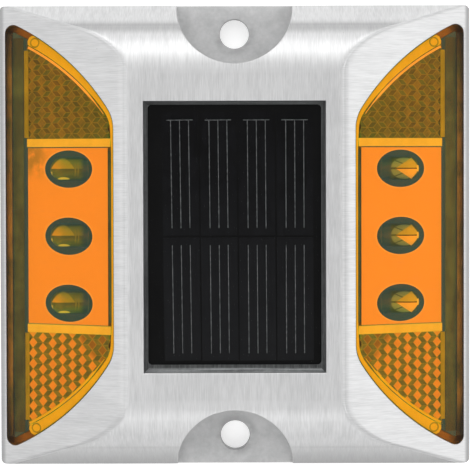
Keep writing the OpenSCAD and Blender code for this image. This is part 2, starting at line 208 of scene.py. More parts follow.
class Finish:
    """One material: its node tree and the few ways of adding to it."""

    def __init__(self, name):
        self.material = bpy.data.materials.new(name)
        self.material.use_nodes = True
        self.tree = self.material.node_tree
        self.tree.nodes.clear()
        self.place = self.add("ShaderNodeTexCoord", {}, {}, "Object")

    def add(self, kind, settings, inputs, output=0):
        """Any node: its settings first, then the values or links of its inputs."""
        node = self.tree.nodes.new(kind)
        for key, value in settings.items():
            setattr(node, key, value)
        for key, value in inputs.items():
            if isinstance(value, Wire):
                self.tree.links.new(value.socket, node.inputs[key])
            else:
                node.inputs[key].default_value = value
        return Wire(self, node.outputs[output])

    def axes(self):
        """The three object coordinates, in metres."""
        parts = self.tree.nodes.new("ShaderNodeSeparateXYZ")
        self.tree.links.new(self.place.socket, parts.inputs[0])
        return [Wire(self, parts.outputs[i]) for i in range(3)]

    def stretched(self, scale):
        """Object coordinates scaled by a different amount along each axis."""
        return self.add("ShaderNodeMapping", {}, {"Vector": self.place, "Scale": scale})

    def noise(self, scale, detail=3.0, roughness=0.55, place=None):
        """Cloudy noise from 0 to 1. scale is per metre unless place says otherwise."""
        inputs = {"Scale": scale, "Detail": detail, "Roughness": roughness}
        return self.add("ShaderNodeTexNoise", {}, {"Vector": place or self.place, **inputs})

    def cells(self, scale):
        """Distance to the nearest of many scattered points, scale of them to a metre."""
        inputs = {"Vector": self.place, "Scale": scale}
        return self.add("ShaderNodeTexVoronoi", {"feature": "F1"}, inputs, "Distance")

    def blend(self, amount, first, second):
        """Colour first where amount is 0 and second where it is 1."""
        pair = [c if isinstance(c, Wire) else (*c, 1) for c in (first, second)]
        inputs = {0: amount, 6: pair[0], 7: pair[1]}
        return self.add("ShaderNodeMix", {"data_type": "RGBA"}, inputs, 2)

    def bump(self, height, distance, strength=1.0, under=None):
        inputs = {"Height": height, "Distance": distance, "Strength": strength}
        if under is not None:
            inputs["Normal"] = under
        return self.add("ShaderNodeBump", {}, inputs)

    def surface(self, **inputs):
        """A Principled shader. Underscores in the names stand for spaces."""
        named = {}
        for key, value in inputs.items():
            if isinstance(value, tuple) and len(value) == 3:
                value = (*value, 1)
            named[key.replace("_", " ")] = value
        return self.add("ShaderNodeBsdfPrincipled", {}, named)

    def clear(self, colour):
        return self.add("ShaderNodeBsdfTransparent", {}, {"Color": (*colour, 1)})

    def mixed(self, amount, first, second):
        return self.add("ShaderNodeMixShader", {}, {0: amount, 1: first, 2: second})

    def done(self, shader):
        output = self.tree.nodes.new("ShaderNodeOutputMaterial")
        self.tree.links.new(shader.socket, output.inputs["Surface"])
        return self.material

    def finish(self, **inputs):
        """The material, done with one Principled shader."""
        return self.done(self.surface(**inputs))


def brushed_casting():
    """Cast aluminium, linished along Y on the top and shoulders and along X on the approach faces, left rough
    in the bolt recesses and under the stud. The ridges are eased by a soft lower envelope of the approach
    face and the shoulder: the lower of the two, less the square of how much they come nearer than the reach.
    The shoulder has painted shade along its crease and towards the -Y end, the walls of the lens bays have
    painted shade, and so has the lip below each approach face, more on the +X side."""
    f = Finish("cast_aluminium")
    x, y, z = f.axes()
    face_level = HEIGHT + SLOPE * RIDGE - SLOPE * abs(x)
    face = 1 - abs(z - face_level).over(0.12 * MM, 0.5 * MM)
    past_start = (abs(y) - SHOULDER_START).most(0)
    round_level = (HEIGHT - SHOULDER_R) + (SHOULDER_R**2 - past_start * past_start).most(0).root()
    skirt_level = CREASE_Z - (abs(y) - CREASE_Y) * SKIRT_SLOPE
    past_crease = abs(y) > CREASE_Y
    shoulder_level = round_level * (1 - past_crease) + skirt_level * past_crease
    reach = 1.0 * MM
    near = (reach - abs(face_level.least(HEIGHT) - shoulder_level)).most(0)
    eased_edge = near * near * (-0.25 / reach)
    along_y = f.noise(1.0, 3.0, 0.6, f.stretched((6500, 260, 400)))
    along_x = f.noise(1.0, 3.0, 0.6, f.stretched((260, 6500, 260)))
    grain = along_y * (1 - face) + along_x * face
    broad_y = f.noise(1.0, 2.0, 0.5, f.stretched((900, 90, 160)))
    broad_x = f.noise(1.0, 2.0, 0.5, f.stretched((90, 900, 90)))
    broad = broad_y * (1 - face) + broad_x * face
    cloud = f.noise(70, 4.0, 0.6)
    centre_y = HALF_WIDTH - RECESS_INSET
    off_centre = abs(y) - centre_y
    from_centre = (x * x + off_centre * off_centre).root()
    recess = (1 - from_centre.over(RECESS_R + 0.02 * MM, RECESS_R + 0.12 * MM)) * (
        abs(y) > centre_y - RECESS_R - 0.2 * MM
    )
    recess = recess.most((abs(x) < RECESS_R + 0.05 * MM) * (abs(y) > centre_y))
    under = 1 - z.over(0.1 * MM, 0.4 * MM)
    rough_cast = recess.most(under)
    grit = f.noise(1300, 4.0, 0.6)
    blotch = f.noise(170, 4.0, 0.62)
    bolt_y = abs(y) - BOLT_Y
    from_bolt = (x * x + bolt_y * bolt_y).root()
    # Darker blotches in a ring round each bolt and along the recess wall.
    bolt_ring = 1 - from_bolt.over(3.3 * MM, 5.4 * MM)
    near_recess_wall = from_centre.over(RECESS_R - 1.0 * MM, RECESS_R)
    dark_blotches = (bolt_ring * blotch.over(0.42, 0.62)).most(near_recess_wall * blotch.over(0.5, 0.7))
    pit = 1 - f.cells(520).over(0.03, 0.08)
    pits = pit * f.noise(150, 1.0).over(0.6, 0.66)
    tone = grain * 0.6 + broad * 0.2 + cloud * 0.2
    brushed = f.blend(tone.over(0.34, 0.66), (0.45, 0.451, 0.454), (0.575, 0.576, 0.578))
    cast = f.blend(
        (blotch * 0.7 + grit * 0.3).over(0.3, 0.7), (0.43, 0.431, 0.433), (0.55, 0.551, 0.552)
    )
    cast = f.blend(dark_blotches * 0.5, cast, (0.24, 0.24, 0.243))
    colour = f.blend(rough_cast, brushed, cast)
    # Painted shade: a soft dark band along the +Y crease, a thin dark line along each crease and a darkening
    # towards the -Y end.
    crease = 1 - abs(abs(y) - CREASE_Y).over(0.05 * MM, 0.6 * MM)
    crease = crease * (z < CREASE_Z + 0.6 * MM)
    soft_crease = (1 - abs(y - CREASE_Y + 0.5 * MM).over(0.1 * MM, 1.9 * MM)) * 0.5
    shaded = soft_crease + crease * 0.1 + (0 - y).over(40 * MM, 50.5 * MM) * 0.75
    colour = f.blend(shaded * (1 - face) * (1 - rough_cast), colour, (0.2, 0.2, 0.2))
    # Painted shade on the walls of the lens bays.
    below_skin = face_level.least(HEIGHT).least(shoulder_level) - z
    in_bay = below_skin.over(0.5 * MM, 1.2 * MM) * (z > 1 * MM) * (abs(y) < CREASE_Y)
    in_bay = in_bay * (abs(x) > LENS_INNER - 0.5 * MM) * (abs(x) < LENS_OUTER + 0.3 * MM)
    colour = f.blend(in_bay, colour, (0.24, 0.22, 0.2))
    # Painted shade on the lip below each approach face, heavier on the +X side; the same grey also darkens
    # the real casting pits.
    lip_shade = abs(x).over(LENS_OUTER, LENS_OUTER + 0.8 * MM) * (0.66 + (x > 0) * 0.2)
    lip_shade_and_pit_grey = (0.25, 0.25, 0.25)
    colour = f.blend(lip_shade, colour, lip_shade_and_pit_grey)
    colour = f.blend(pits * 0.5 * (1 - rough_cast), colour, lip_shade_and_pit_grey)
    eased = f.add("ShaderNodeBevel", {"samples": 6}, {"Radius": 0.35 * MM})
    ridge = f.bump(eased_edge * (1 - rough_cast), 1.0, 1.0, eased)
    height = (grain + broad * 0.2) * (1 - rough_cast) + grit * rough_cast * 1.6 - pits
    normal = f.bump(height, 0.004 * MM, 0.5, ridge)
    roughness = 0.40 + grain * 0.08 + cloud * 0.04 + rough_cast * 0.16
    return f.finish(Base_Color=colour, Metallic=1.0, Roughness=roughness, Normal=normal)


def black_resin():
    """Poured black resin: glossy, faintly rippled, with small burst bubbles. Inside the lens bays it is
    painted paler and given a painted glow for the light that the lens gathers."""
    f = Finish("potting_resin")
    ripple = f.noise(90, 3.0)
    bubble = 1 - f.cells(900).over(0.06, 0.2)
    sparse = f.noise(300, 1.0).over(0.58, 0.64)
    bubbles = bubble * sparse
    x, y, z = f.axes()
    below = f.blend(ripple, (0.012, 0.014, 0.014), (0.03, 0.034, 0.032))
    # Painted light inside the lens bays: a paler lit copy of the resin and a painted glow.
    lit = f.blend(ripple, (0.03, 0.13, 0.25), (0.05, 0.19, 0.35))
    in_bay = z.over(1.4 * MM, 2.2 * MM)
    colour = f.blend(in_bay, below, lit)
    painted_bay_glow = f.blend(ripple, (0.0, 0.05, 0.26), (0.005, 0.08, 0.34))
    normal = f.bump(ripple * 0.5 - bubbles, 0.05 * MM, 0.5)
    return f.finish(
        Base_Color=colour,
        Roughness=0.22 + bubbles * 0.4,
        Emission_Color=f.blend(in_bay, (0, 0, 0), painted_bay_glow),
        Emission_Strength=1.0,
        Normal=normal,
    )


def grey_sealant():
    """Grey sealant bead, drawn along each side so that it carries shallow lines along its run, with a painted
    reflection that makes it paler at the -Y end."""
    f = Finish("sealant")
    x, y, z = f.axes()
    at_end = abs(y).over(PANEL[1].y - 0.3 * MM, PANEL[1].y + 0.1 * MM) * (
        (abs(x) - PANEL[1].x) < (abs(y) - PANEL[1].y)
    )
    across_end = f.noise(1.0, 2.0, 0.5, f.stretched((70, 3600, 200)))
    across_side = f.noise(1.0, 2.0, 0.5, f.stretched((3600, 70, 200)))
    lines = across_end * at_end + across_side * (1 - at_end)
    mottle = f.noise(900, 4.0, 0.6)
    # Painted reflection: the band at the -Y end is paler.
    painted_reflection_end = at_end * (y < 0)
    tone = (lines * 0.75 + mottle * 0.25).over(0.3, 0.7)
    dark = f.blend(painted_reflection_end, (0.03, 0.03, 0.03), (0.13, 0.13, 0.131))
    light = f.blend(painted_reflection_end, (0.12, 0.12, 0.121), (0.46, 0.46, 0.461))
    speck = (1 - f.cells(420).over(0.05, 0.12)) * f.noise(200, 1.0).over(0.55, 0.62)
    colour = f.blend(speck, f.blend(tone, dark, light), (0.05, 0.05, 0.05))
    normal = f.bump(lines, 0.06 * MM, 0.5)
    return f.finish(Base_Color=colour, Roughness=0.45 + mottle * 0.15, Normal=normal)


def panel_laminate():
    """Black laminate with a very slight orange-peel surface."""
    f = Finish("panel_laminate")
    peel = f.noise(1600, 2.0)
    haze = f.noise(70, 2.0)
    colour = f.blend(haze, (0.002, 0.002, 0.002), (0.005, 0.005, 0.005))
    normal = f.bump(peel, 0.002 * MM, 0.1)
    return f.finish(
        Base_Color=colour, Roughness=0.35 + haze * 0.1, Specular_IOR_Level=0.01, Normal=normal
    )


def silicon():
    """Dark blue-black cells with a trace of crystal grain, and painted light that makes them a little paler
    towards the -Y end.
    """
    f = Finish("silicon")
    stretched = {"Vector": f.stretched((500, 260, 500)), "Scale": 1.0}
    crystal = f.add("ShaderNodeTexVoronoi", {"feature": "F1"}, stretched, "Color")
    shade = f.add("ShaderNodeSeparateColor", {}, {0: crystal})
    haze = f.noise(120, 3.0)
    colour = f.blend(
        (shade * 0.5 + haze * 0.5).over(0.1, 0.9), (0.002, 0.002, 0.0022), (0.005, 0.005, 0.006)
    )
    x, y, z = f.axes()
    # Painted light: the cells are paler towards the -Y end.
    painted_light_fade = y.over(-27 * MM, 27 * MM)
    colour = f.blend(painted_light_fade, f.blend(haze, (0.009, 0.009, 0.01), (0.014, 0.014, 0.015)), colour)
    return f.finish(Base_Color=colour, Roughness=0.3 + haze * 0.15, Specular_IOR_Level=0.01)


def printed_silver():
    """Fired silver lines: matt, broken in tone along their length."""
    f = Finish("silver_print")
    broken = f.noise(1500, 3.0)
    colour = f.blend(broken.over(0.3, 0.7), (0.06, 0.06, 0.061), (0.16, 0.16, 0.162))
    return f.finish(Base_Color=colour, Metallic=0.35, Roughness=0.5, Normal=f.bump(broken, 0.01 * MM))


def painted_reflection_glow(f, haze, dim, bright):
    """A faint even painted reflection: a glow that stands for the studio seen in a clear moulding."""
    return f.surface(
        Base_Color=f.blend(haze, (0.01, 0.01, 0.01), (0.02, 0.02, 0.02)),
        Roughness=0.6 + haze * 0.1,
        Specular_IOR_Level=0.0,
        Emission_Color=f.blend(haze, dim, bright),
        Emission_Strength=1.0,
    )


def clear_window():
    """Clear moulded window: a faint even painted reflection where it is seen face on, and glossy where it is
    seen at a slant.
    """
    f = Finish("clear_window")
    haze = f.noise(200, 3.0)
    sheen = f.add("ShaderNodeFresnel", {}, {"IOR": 1.5})
    gloss = f.surface(
        Base_Color=f.blend(haze, (0.75, 0.77, 0.78), (0.9, 0.9, 0.9)),
        Metallic=1.0,
        Roughness=0.04 + haze * 0.03,
    )
    # Painted reflection: a faint even glow where the window is seen face on.
    reflection_glow = painted_reflection_glow(f, haze, (0.6, 0.6, 0.6), (0.7, 0.7, 0.7))
    body = f.mixed(0.003 + haze * 0.002, f.clear((0.93, 0.94, 0.94)), reflection_glow)
    return f.done(f.mixed(((sheen - 0.06) * 0.5).most(0), body, gloss))


def amber_skin():
    """Polished amber plastic: tints what is behind it, with a faint even painted reflection where it is seen
    face on and glossy where it is seen at a slant, with fine scratches."""
    f = Finish("amber_lens")
    haze = f.noise(240, 3.0)
    scratch = f.noise(1.0, 2.0, 0.5, f.stretched((300, 2600, 300))).over(0.62, 0.7)
    sheen = f.add("ShaderNodeFresnel", {}, {"IOR": 1.46})
    gloss = f.surface(
        Base_Color=f.blend(haze, (0.8, 0.86, 0.8), (0.92, 0.92, 0.88)),
        Metallic=1.0,
        Roughness=0.06 + scratch * 0.05 + haze * 0.04,
    )
    # Painted reflection: a faint even glow where the lens is seen face on.
    reflection_glow = painted_reflection_glow(f, haze, (0.55, 0.6, 0.55), (0.7, 0.72, 0.68))
    body = f.mixed(0.013 + scratch * 0.012, f.clear((0.999, 0.72, 0.31)), reflection_glow)
    return f.done(f.mixed(((sheen - 0.045) * 0.7).most(0), body, gloss))


def amber_solid(name, deep, bright, glow=(0, 0, 0), dark_ends=False):
    """Thick amber plastic seen edge on, with a faint painted glow for the light that shines through it. With
    dark_ends it turns darker and greener near the ends of the lens."""
    f = Finish(name)
    flow = f.noise(150, 3.0, 0.6)
    streak = f.noise(1.0, 3.0, 0.5, f.stretched((500, 120, 500)))
    tone = (flow * 0.6 + streak * 0.4).over(0.3, 0.7)
    normal = f.bump(streak, 0.03 * MM, 0.4)
    colour = f.blend(tone, deep, bright)
    if dark_ends:
        x, y, z = f.axes()
        end = abs(y).over(34 * MM, 42 * MM)
        colour = f.blend(end * 0.8, colour, (0.02, 0.08, 0.1))
    # Painted glow: the plastic glows though it is no lamp.
    return f.finish(
        Base_Color=colour,
        Roughness=0.25 + flow * 0.12,
        Specular_IOR_Level=0.3,
        Emission_Color=f.blend(tone, tuple(0.8 * part for part in glow), glow),
        Emission_Strength=1.0,
        Normal=normal,
    )


def prism_facet(name, deep, bright, line, shaded_corner=False):
    """One of the three facets of each corner prism, its colour a painted reflection. Its own grid coordinates
    run
    0 to 1 over the facet, and a fine painted highlight line follows its edges. Facets at the +Y end have
    painted shade inwards, turning olive. With shaded_corner the facets nearest to the rib and the inner edge
    have painted shade."""
    f = Finish(name)
    grid = f.add("ShaderNodeUVMap", {"uv_map": "facet"}, {})
    parts = f.tree.nodes.new("ShaderNodeSeparateXYZ")
    f.tree.links.new(grid.socket, parts.inputs[0])
    across, along = Wire(f, parts.outputs[0]), Wire(f, parts.outputs[1])
    # Painted highlight: a fine light line along the facet's edges.
    edge = (abs(across - 0.5)).most(abs(along - 0.5)).over(0.40, 0.48)
    mottle = f.noise(420, 3.0, 0.6)
    colour = f.blend(mottle.over(0.3, 0.7), deep, bright)
    x, y, z = f.axes()
    if not shaded_corner:
        # Painted shade: towards the inner edge the +Y facets turn olive.
        inwards = (1 - abs(x).over(LENS_INNER + 1 * MM, LENS_INNER + 13 * MM)) * (y > 0)
        colour = f.blend(inwards * 0.6, colour, (0.08, 0.30, 0.3))
    else:
        # Painted shade near the rib and the inner edge.
        patch = f.noise(160, 2.0)
        from_corner = (abs(x) - LENS_INNER) * 1.1 + (abs(y) - RIB_HIGH) * 0.8 + patch * 3 * MM
        corner_shade = 1 - from_corner.over(8.5 * MM, 12 * MM)
        colour = f.blend(corner_shade * 0.85, colour, (0.17, 0.24, 0.2))
    colour = f.blend(edge * (0.6 if shaded_corner else 0.4), colour, line)
    return f.finish(Base_Color=colour, Roughness=0.3 + mottle * 0.15)


def white_plate():
    """White moulded plate with faint flow marks and a fine speckle, a painted highlight and glow round each
    lamp window, a painted shadow near one corner of the left plate and a faint painted glow all over."""
    f = Finish("white_plate")
    flow = f.noise(80, 3.0)
    speck = f.cells(1800).over(0.05, 0.4)
    colour = f.blend(flow, (0.93, 0.84, 0.7), (0.98, 0.88, 0.8))
    x, y, z = f.axes()
    along = (abs(x) - WINDOW_X) / WINDOW_HALF_LENGTH
    across = ((y + 1.5 * LAMP_PITCH) % LAMP_PITCH - 0.5 * LAMP_PITCH) / WINDOW_HALF_WIDTH
    # Painted highlight round each lamp window.
    rim = 1 - (along * along + across * across).root().over(1.02, 1.1)
    # Painted shadow near one corner of the left plate.
    near_corner = (0 - x).over(38 * MM, 42.5 * MM) * y.over(11 * MM, 15 * MM)
    corner_shadow = near_corner * f.noise(420, 3.0).over(0.3, 0.6)
    colour = f.blend(corner_shadow * 0.75, colour, (0.24, 0.42, 0.3))
    colour = f.blend(rim * 0.7, colour, (1.0, 1.0, 1.0))
    colour = f.blend((1 - speck) * 0.08, colour, (0.6, 0.6, 0.58))
    # Painted glow over the whole plate, stronger round each lamp window.
    lit = f.blend(flow, (0.06, 0.05, 0.05), (0.08, 0.06, 0.06))
    return f.finish(
        Base_Color=colour,
        Roughness=0.45 + flow * 0.1,
        Emission_Color=f.blend(rim * 0.8, lit, (0.1, 0.12, 0.2)),
        Emission_Strength=1.0,
    )


def lamp_places(f):
    """Distance behind a lamp's tip and off its axis, both in millimetres."""
    x, y, z = f.axes()
    behind = (LAMP_FRONT - abs(x)) * PER_METRE
    off_axis = ((y + 1.5 * LAMP_PITCH) % LAMP_PITCH - 0.5 * LAMP_PITCH) * PER_METRE
    return behind, off_axis


def lamp_finish(f, colour, glow):
    """Clear epoxy painted with what its dome magnifies and with painted highlights and glow, under a hard
    gloss.
    """
    flow = f.noise(500, 2.0)
    return f.finish(
        Base_Color=colour,
        Roughness=0.3 + flow * 0.1,
        Specular_IOR_Level=0.3,
        Coat_Weight=0.6,
        Coat_Roughness=0.03,
        Emission_Color=glow,
        Emission_Strength=1.0,
        Normal=f.bump(flow, 0.01 * MM, 0.3),
    )


def right_epoxy():
    """The dome spreads the cup and post into two painted highlight wedges that open towards the tip, a dark
    line along the axis between them, a painted highlight block at the tip and a painted glow."""
    f = Finish("lamp_epoxy_right")
    behind, off = lamp_places(f)
    wide = abs(off)
    from_root = 5.1 - behind
    shoulder = (behind - 0.35) * 1.25
    # Painted highlights: two wedges opening towards the tip, a block at the tip and a paler oval beside the
    # axis.
    wedge_highlight = (from_root * 0.66 - wide).over(-0.06, 0.06) * behind.over(0.45, 0.55)
    wedge_highlight = wedge_highlight * (shoulder + 0.62 - wide).over(-0.06, 0.06)
    line = (1 - wide.over(0.08, 0.17)) * behind.over(0.45, 0.55) * (1 - behind.over(4.8, 5.3))
    block = (1 - behind.over(0.5, 0.6)) * (1 - wide.over(0.6, 0.75))
    flat_seam = 1 - abs(wide - (behind - 2.0) * 0.42 - 0.35).over(0.05, 0.22)
    oval_x = (behind - 3.2) / 2.95
    oval_y = wide / 2.3
    facet_side = (1 - (oval_x * oval_x + oval_y * oval_y).over(0.85, 1.05)) * wide.over(0.1, 0.3)
    far_back = behind.over(5.5, 6.6)
    facet = f.noise(420, 2.0, 0.6)
    olive = f.blend(facet.over(0.35, 0.65), (0.05, 0.24, 0.32), (0.08, 0.32, 0.42))
    olive = f.blend(facet_side * 0.9, olive, (0.34, 0.86, 0.9))
    olive = f.blend(flat_seam * facet_side, olive, (0.08, 0.30, 0.2))
    olive = f.blend(wide.over(2.1, 2.6), olive, (0.035, 0.18, 0.3))
    olive = f.blend(far_back, olive, (0.04, 0.15, 0.3))
    lower = off < 0
    wedge = f.blend(lower, (0.62, 0.80, 0.5), (0.95, 0.86, 0.9))
    colour = f.blend(wedge_highlight, olive, wedge)
    colour = f.blend(block, colour, (0.95, 0.95, 0.7))
    colour = f.blend(line, colour, (0.07, 0.18, 0.1))
    # Painted glow on the highlights and round the rim.
    shine = f.blend(lower, (0.08, 0.16, 0.03), (0.2, 0.24, 0.08))
    glow = f.blend(wedge_highlight * (1 - line), (0, 0, 0), shine)
    glow = f.blend(block * (1 - line), glow, (0.3, 0.4, 0.08))
    rim = wide.over(2.1, 2.6).most(far_back)
    glow = f.blend(facet_side * (1 - wedge_highlight) * (1 - block), glow, (0.02, 0.06, 0.2))
    glow = f.blend(rim, glow, (0.0, 0.05, 0.26))
    return lamp_finish(f, colour, glow)


def left_epoxy():
    """Seen from its other side each lamp shows a painted gold highlight on the half above the axis, a dark
    band below it, a thin painted gold crescent under that, two upright lines where the cup stands, a painted
    highlight point at the tip and a painted glow."""
    f = Finish("lamp_epoxy_left")
    behind, off = lamp_places(f)
    # Painted highlights: a gold half above the axis, a thin crescent below and a point at the tip.
    upper = off.over(0.0, 0.14)
    along = (behind - 2.75) / 2.6
    gold = upper * (1 - (off / 2.35 + along * along).over(0.85, 1.05))
    upper_far = upper * (1 - gold) * behind.over(3.4, 4.0) * (1 - off.over(1.9, 2.2))
    drawn = (behind - 2.9) / 1.3
    thin = (off + 1.98 + drawn * drawn * 0.12) / 0.27
    crescent = 1 - (drawn * drawn + thin * thin).over(0.6, 1.2)
    bowed = off * off * 0.06
    first_line = 1 - abs(behind + bowed - 5.45).over(0.08, 0.22)
    second_line = 1 - abs(behind + bowed - 6.05).over(0.08, 0.22)
    lines = first_line.most(second_line) * (1 - abs(off).over(1.0, 2.0))
    far_back = behind.over(6.2, 7.4)
    tip = (1 - behind.over(0.15, 0.35)) * (1 - abs(off).over(1.2, 1.6))
    point = (1 - behind.over(0.35, 0.6)) * (1 - abs(off + 0.95).over(0.25, 0.5))
    facet = f.noise(420, 2.0, 0.6)
    band = f.blend(off.over(-1.7, 0), (0.14, 0.50, 0.5), (0.08, 0.28, 0.25))
    band = f.blend(facet.over(0.4, 0.7) * 0.5, band, (0.12, 0.38, 0.4))
    band = f.blend(upper_far * 0.8, band, (0.24, 0.66, 0.5))
    band = f.blend(abs(off).over(2.0, 2.5), band, (0.035, 0.18, 0.3))
    band = f.blend(far_back, band, (0.04, 0.15, 0.3))
    bright = f.blend((behind * 0.2 + off * 0.15).over(0.2, 0.95), (0.66, 0.80, 0.6), (0.40, 0.80, 0.6))
    colour = f.blend(gold, band, bright)
    colour = f.blend(lines * 0.8, colour, (0.26, 0.6, 0.4))
    colour = f.blend(tip * 0.6, colour, (0.3, 0.6, 0.4))
    colour = f.blend(crescent.most(point), colour, (0.6, 0.8, 0.7))
    # Painted glow round the rim and on the highlights.
    rim = abs(off).over(2.0, 2.5).most(far_back)
    glow = f.blend(rim, (0, 0.02, 0.08), (0.0, 0.05, 0.26))
    glow = f.blend(gold, glow, (0.02, 0.06, 0.02))
    glow = f.blend(crescent.most(point), glow, (0.3, 0.5, 0.2))
    return lamp_finish(f, colour, glow)


def tinned(name, dark, light, metallic=1.0, roughness=0.28, scale=900):
    """Plated metal or another small part's finish: two tones broken by fine noise, lightly bumped."""
    f = Finish(name)
    tone = f.noise(scale, 3.0)
    colour = f.blend(tone.over(0.3, 0.7), dark, light)
    return f.finish(
        Base_Color=colour,
        Metallic=metallic,
        Roughness=roughness + tone * 0.12,
        Normal=f.bump(tone, 0.01 * MM, 0.4),
    )


def circuit_board():
    """Green solder mask over copper tracks, with round tinned pads."""
    f = Finish("circuit_board")
    x, y, z = f.axes()
    track = abs((x * PER_METRE + f.noise(60, 0.0) * 6) % 2.4 - 1.2).over(0.35, 0.45)
    pad = 1 - f.cells(260).over(0.14, 0.17)
    mask = f.blend(track, (0.02, 0.16, 0.07), (0.012, 0.09, 0.04))
    colour = f.blend(pad, mask, (0.7, 0.68, 0.6))
    return f.finish(
        Base_Color=colour,
        Metallic=pad * 0.9,
        Roughness=0.35 + pad * 0.1,
        Normal=f.bump(track, 0.03 * MM, 0.5),
    )


def wire_sheath():
    """Red sheath on the wire of each pair that lies on one side, black on the other."""
    f = Finish("wire_sheath")
    x, y, z = f.axes()
    print_noise = f.noise(1500, 2.0)
    along_x = abs(x).over(16.5 * MM, 17.0 * MM)
    battery = y < -17 * MM
    first = (y > 0) * along_x + (x < 6 * MM) * battery
    first = first + (x < 0) * (1 - along_x) * (1 - battery)
    colour = f.blend(first.least(1.0), (0.02, 0.02, 0.02), (0.5, 0.03, 0.02))
    colour = f.blend(print_noise * 0.2, colour, (0.2, 0.2, 0.2))
    return f.finish(Base_Color=colour, Roughness=0.4 + print_noise * 0.1)


# ----------------------------------------------------------------- surfaces


def face_height(x):
    """Height of an approach face, falling in a straight line from its ridge."""
    return HEIGHT - SLOPE * (np.abs(x) - RIDGE)


def piece(name, points, faces, materials, stands_for, kinds=None, grid=None, smooth=True):
    """Puts arrays into a mesh, turns its faces outwards and hangs it on the body."""
    mesh = bpy.data.meshes.new(name)
    mesh.from_pydata(points.tolist(), [], faces)
    for material in materials:
        mesh.materials.append(material)
    if kinds is not None:
        mesh.polygons.foreach_set("material_index", kinds)
    if grid is not None:
        layer = mesh.uv_layers.new(name="facet")
        layer.data.foreach_set("uv", grid.astype(np.float32).ravel())
    work = bmesh.new()
    work.from_mesh(mesh)
    bmesh.ops.recalc_face_normals(work, faces=work.faces)
    work.to_mesh(mesh)
    work.free()
    if smooth:
        mesh.shade_smooth()
        mesh.set_sharp_from_angle(angle=math.radians(35))
    made = bpy.data.objects.new(name, mesh)
    bpy.context.scene.collection.objects.link(made)
    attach(made, "root")
    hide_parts(*stands_for)
    return made


def ring_faces(rows, columns, closed=True, caps=True):
    """Quads between neighbouring rings of a stack, and one face over each open end."""
    row = np.arange(rows - 1)[:, None] * columns
    column = np.arange(columns if closed else columns - 1)[None, :]
    after = (column + 1) % columns
    quads = np.stack(
        [row + column, row + columns + column, row + columns + after, row + after], axis=-1
    ).reshape(-1, 4)
    faces = quads.tolist()
    if caps:
        faces.append(list(range(columns)))
        faces.append(list(range(rows * columns - 1, (rows - 1) * columns - 1, -1)))
    return faces


def lens_piece(name, points, faces, material):
    """A part of a lens. The first word of its name says which lens."""
    return piece(name, points, faces, [material], [name.split("_")[0] + "_lens"])


def arc(x, y, r, start, end, steps):
    """Points on a circle from one angle to another."""
    angle = np.linspace(start, end, steps)
    return np.stack([x + r * np.cos(angle), y + r * np.sin(angle)], axis=-1)


def half_lens(inset, steps=(10, 60, 16)):
    """Upper half of a lens outline moved inwards by inset: outer corner arc, large arc, inner corner arc."""
    inner_x = LENS_INNER + INNER_BLEND
    outer_x = LENS_OUTER - OUTER_BLEND
    inner_y = math.sqrt((LENS_ARC - INNER_BLEND) ** 2 - (LENS_ARC_X - inner_x) ** 2)
    outer_y = math.sqrt((LENS_ARC - OUTER_BLEND) ** 2 - (LENS_ARC_X - outer_x) ** 2)
    inner_turn = math.atan2(inner_y, inner_x - LENS_ARC_X)
    outer_turn = math.atan2(outer_y, outer_x - LENS_ARC_X)
    return np.concatenate(
        [
            arc(outer_x, outer_y, OUTER_BLEND - inset, 0, outer_turn, steps[0]),
            arc(LENS_ARC_X, 0, LENS_ARC - inset, outer_turn, inner_turn, steps[1])[1:],
            arc(inner_x, inner_y, INNER_BLEND - inset, inner_turn, math.pi, steps[2])[1:],
        ]
    )


def lens_skin(side, name, material):
    """Amber skin: the lens outline stacked downwards, first inset on a quarter circle so that the rim is
    rounded, then straight down by the skin's thickness. Flat ends follow the approach face."""
    rim = 0.3 * MM
    gap = 0.1 * MM
    turn = np.linspace(math.pi / 2, 0, 6)
    insets = np.concatenate([gap + rim * (1 - np.cos(turn)), [gap]])
    drops = np.concatenate([0.03 * MM + rim * (1 - np.sin(turn)), [SKIN]])
    rings = []
    for inset, drop in zip(insets, drops):
        upper = half_lens(inset)
        outline = np.concatenate([upper, upper[::-1] * (1, -1)])
        rings.append(np.column_stack([outline, face_height(outline[:, 0]) - drop]))
    points = np.concatenate(rings) * (side, 1, 1)
    return lens_piece(name, points, ring_faces(len(insets), len(rings[0])), material)


def across(path):
    """Unit vectors square to a path in the plane."""
    tangent = np.gradient(path, axis=0)
    tangent /= np.linalg.norm(tangent, axis=1, keepdims=True)
    return np.column_stack([-tangent[:, 1], tangent[:, 0]])


def strip(name, path, half_width, top, bottom, rim, side, material):
    """A bar carried along a path on the approach face. Its section is a box with rounded upper edges, as wide
    as half_width says at each point, between two depths below the face."""
    path = np.asarray(path, float)
    half_width = np.broadcast_to(np.asarray(half_width, float), len(path))
    normal = across(path)
    turn = np.linspace(0, math.pi / 2, 5)
    soft = np.minimum(rim, 0.8 * half_width)[:, None]
    wide = half_width[:, None]
    offset = np.concatenate(
        [-wide, -wide + soft * (1 - np.cos(turn)), wide - soft * (1 - np.cos(turn[::-1])), wide], axis=1
    )
    foot = np.full_like(wide, bottom)
    rounded = top + rim * (1 - np.sin(turn)) + 0 * wide
    drop = np.concatenate([foot, rounded, rounded[:, ::-1], foot], axis=1)
    flat = path[:, None, :] + normal[:, None, :] * offset[:, :, None]
    height = face_height(flat[:, :, 0]) - drop
    points = np.concatenate([flat, height[:, :, None]], axis=2).reshape(-1, 3) * (side, 1, 1)
    return lens_piece(name, points, ring_faces(len(path), offset.shape[1]), material)


def resample(path, count):
    """The same path with its points spread evenly along it, and the distance of each from the start."""
    step = np.linalg.norm(np.diff(path, axis=0), axis=1)
    far = np.concatenate([[0], np.cumsum(step)])
    even = np.linspace(0, far[-1], count)
    return np.column_stack([np.interp(even, far, path[:, k]) for k in (0, 1)]), even


